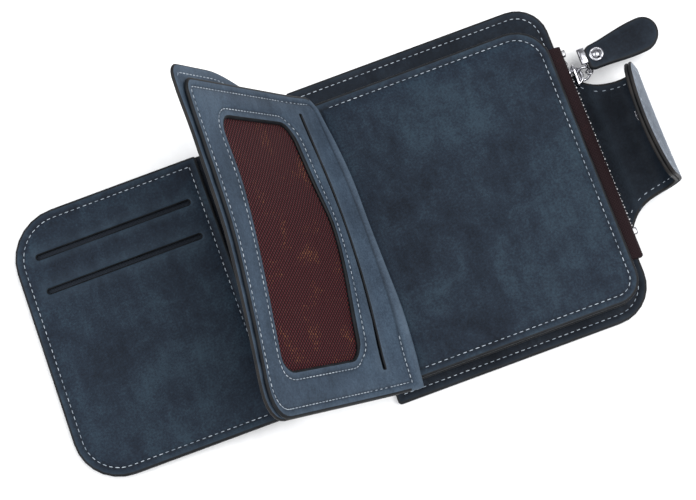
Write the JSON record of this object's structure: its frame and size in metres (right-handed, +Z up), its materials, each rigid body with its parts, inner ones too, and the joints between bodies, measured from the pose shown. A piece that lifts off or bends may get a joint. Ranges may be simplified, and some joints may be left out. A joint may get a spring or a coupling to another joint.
{
  "type": "trifold wallet",
  "caption": "Open trifold wallet with a zipped coin pouch, a raised page with a mesh card window, a card flap with slits and a curled snap strap.",
  "frame": {"origin": "middle of the main panel's underside, on the table", "axes": "+X along the opened wallet from the card flap to the closing strap, +Y up its height to the bill compartment's mouth, +Z up from the table"},
  "size_m": [0.2466, 0.1201, 0.0931],
  "materials": {
    "outer_leather": "nubuck-like napped, dark navy",
    "facing_leather": "nubuck-like napped, blue-grey with cloudy shading",
    "page_leather": "nubuck-like napped, lighter blue-grey",
    "board": "stiffening board, hidden",
    "lining_cloth": "dark woven lining",
    "window_mesh": "maroon diagonal mesh",
    "zip_tape": "maroon woven tape",
    "zip_metal": "bright plated",
    "polished_metal": "polished plated"
  },
  "bodies": {
    "cover": {"cover_outer": "outer_leather", "cover_board": "board", "cover_lining": "facing_leather", "bill_gusset": "lining_cloth", "pouch_back": "facing_leather", "pouch_gusset": "outer_leather", "pouch_front": "facing_leather", "hinge_leaf": "page_leather", "zip_tape_upper": "zip_tape", "zip_tape_lower": "zip_tape", "zip_teeth_upper": "zip_metal", "zip_teeth_lower": "zip_metal", "zip_stop_upper": "zip_metal", "zip_stop_lower": "zip_metal", "zip_end_stop": "zip_metal", "strap_root": "outer_leather"},
    "spine": {"spine_outer": "outer_leather", "spine_lining": "facing_leather"},
    "flap": {"flap_outer": "outer_leather", "card_pocket_upper": "lining_cloth", "card_pocket_lower": "lining_cloth", "flap_facing": "facing_leather", "snap_socket": "polished_metal"},
    "page": {"page_roll": "page_leather", "page_front": "page_leather", "window_mesh": "window_mesh", "page_pocket": "lining_cloth", "page_back": "outer_leather"},
    "strap": {"strap_leg_outer": "outer_leather", "strap_leg_lining": "outer_leather"},
    "strap_tip": {"strap_tip_outer": "outer_leather", "strap_tip_lining": "outer_leather", "snap_stud": "polished_metal"},
    "slider": {"zip_slider": "zip_metal"},
    "ring": {"pull_ring": "polished_metal"},
    "pull": {"pull_clip": "polished_metal", "pull_leather_lower": "outer_leather", "pull_leather_upper": "outer_leather", "pull_rivet": "polished_metal"}
  },
  "joints": [
    {"name": "spine_fold", "type": "hinge", "parent": "cover", "child": "spine", "pos_m": [-0.0487, 0, 0.0024], "axis": [0, 1, 0], "range_deg": [0, 90]},
    {"name": "flap_fold", "type": "hinge", "parent": "spine", "child": "flap", "pos_m": [-0.0677, 0, 0.0024], "axis": [0, 1, 0], "range_deg": [0, 90]},
    {"name": "page_turn", "type": "hinge", "parent": "cover", "child": "page", "pos_m": [-0.0395, 0, 0.017], "axis": [0, 1, 0], "range_deg": [0, 120]},
    {"name": "strap_fold", "type": "hinge", "parent": "cover", "child": "strap", "pos_m": [0.053, -0.0005, 0.0031], "axis": [0, -1, 0], "range_deg": [0, 64]},
    {"name": "strap_curl", "type": "hinge", "parent": "strap", "child": "strap_tip", "pos_m": [0.06959, -0.0005, 0.01844], "axis": [0, -1, 0], "range_deg": [-40, 0]},
    {"name": "slider_run", "type": "slide", "parent": "cover", "child": "slider", "axis": [0, -1, 0], "range_m": [0, 0.053], "deforming": ["pull_leather_lower", "pull_leather_upper"]},
    {"name": "ring_swing", "type": "hinge", "parent": "slider", "child": "ring", "pos_m": [0.05245, 0.027, 0.00985], "axis": [0, -1, 0], "range_deg": [-15, 35]},
    {"name": "pull_turn", "type": "hinge", "parent": "ring", "child": "pull", "pos_m": [0.05565, 0.027, 0.00985], "axis": [0, -0.5, -0.866], "range_deg": [0, 85]}
  ],
  "couplings": [
    {"joint": "flap_fold", "follows": "spine_fold", "ratio": 1},
    {"joint": "page_turn", "follows": "spine_fold", "ratio": 1.3333},
    {"joint": "pull_turn", "follows": "slider_run", "rad_per_m": 27.988}
  ]
}
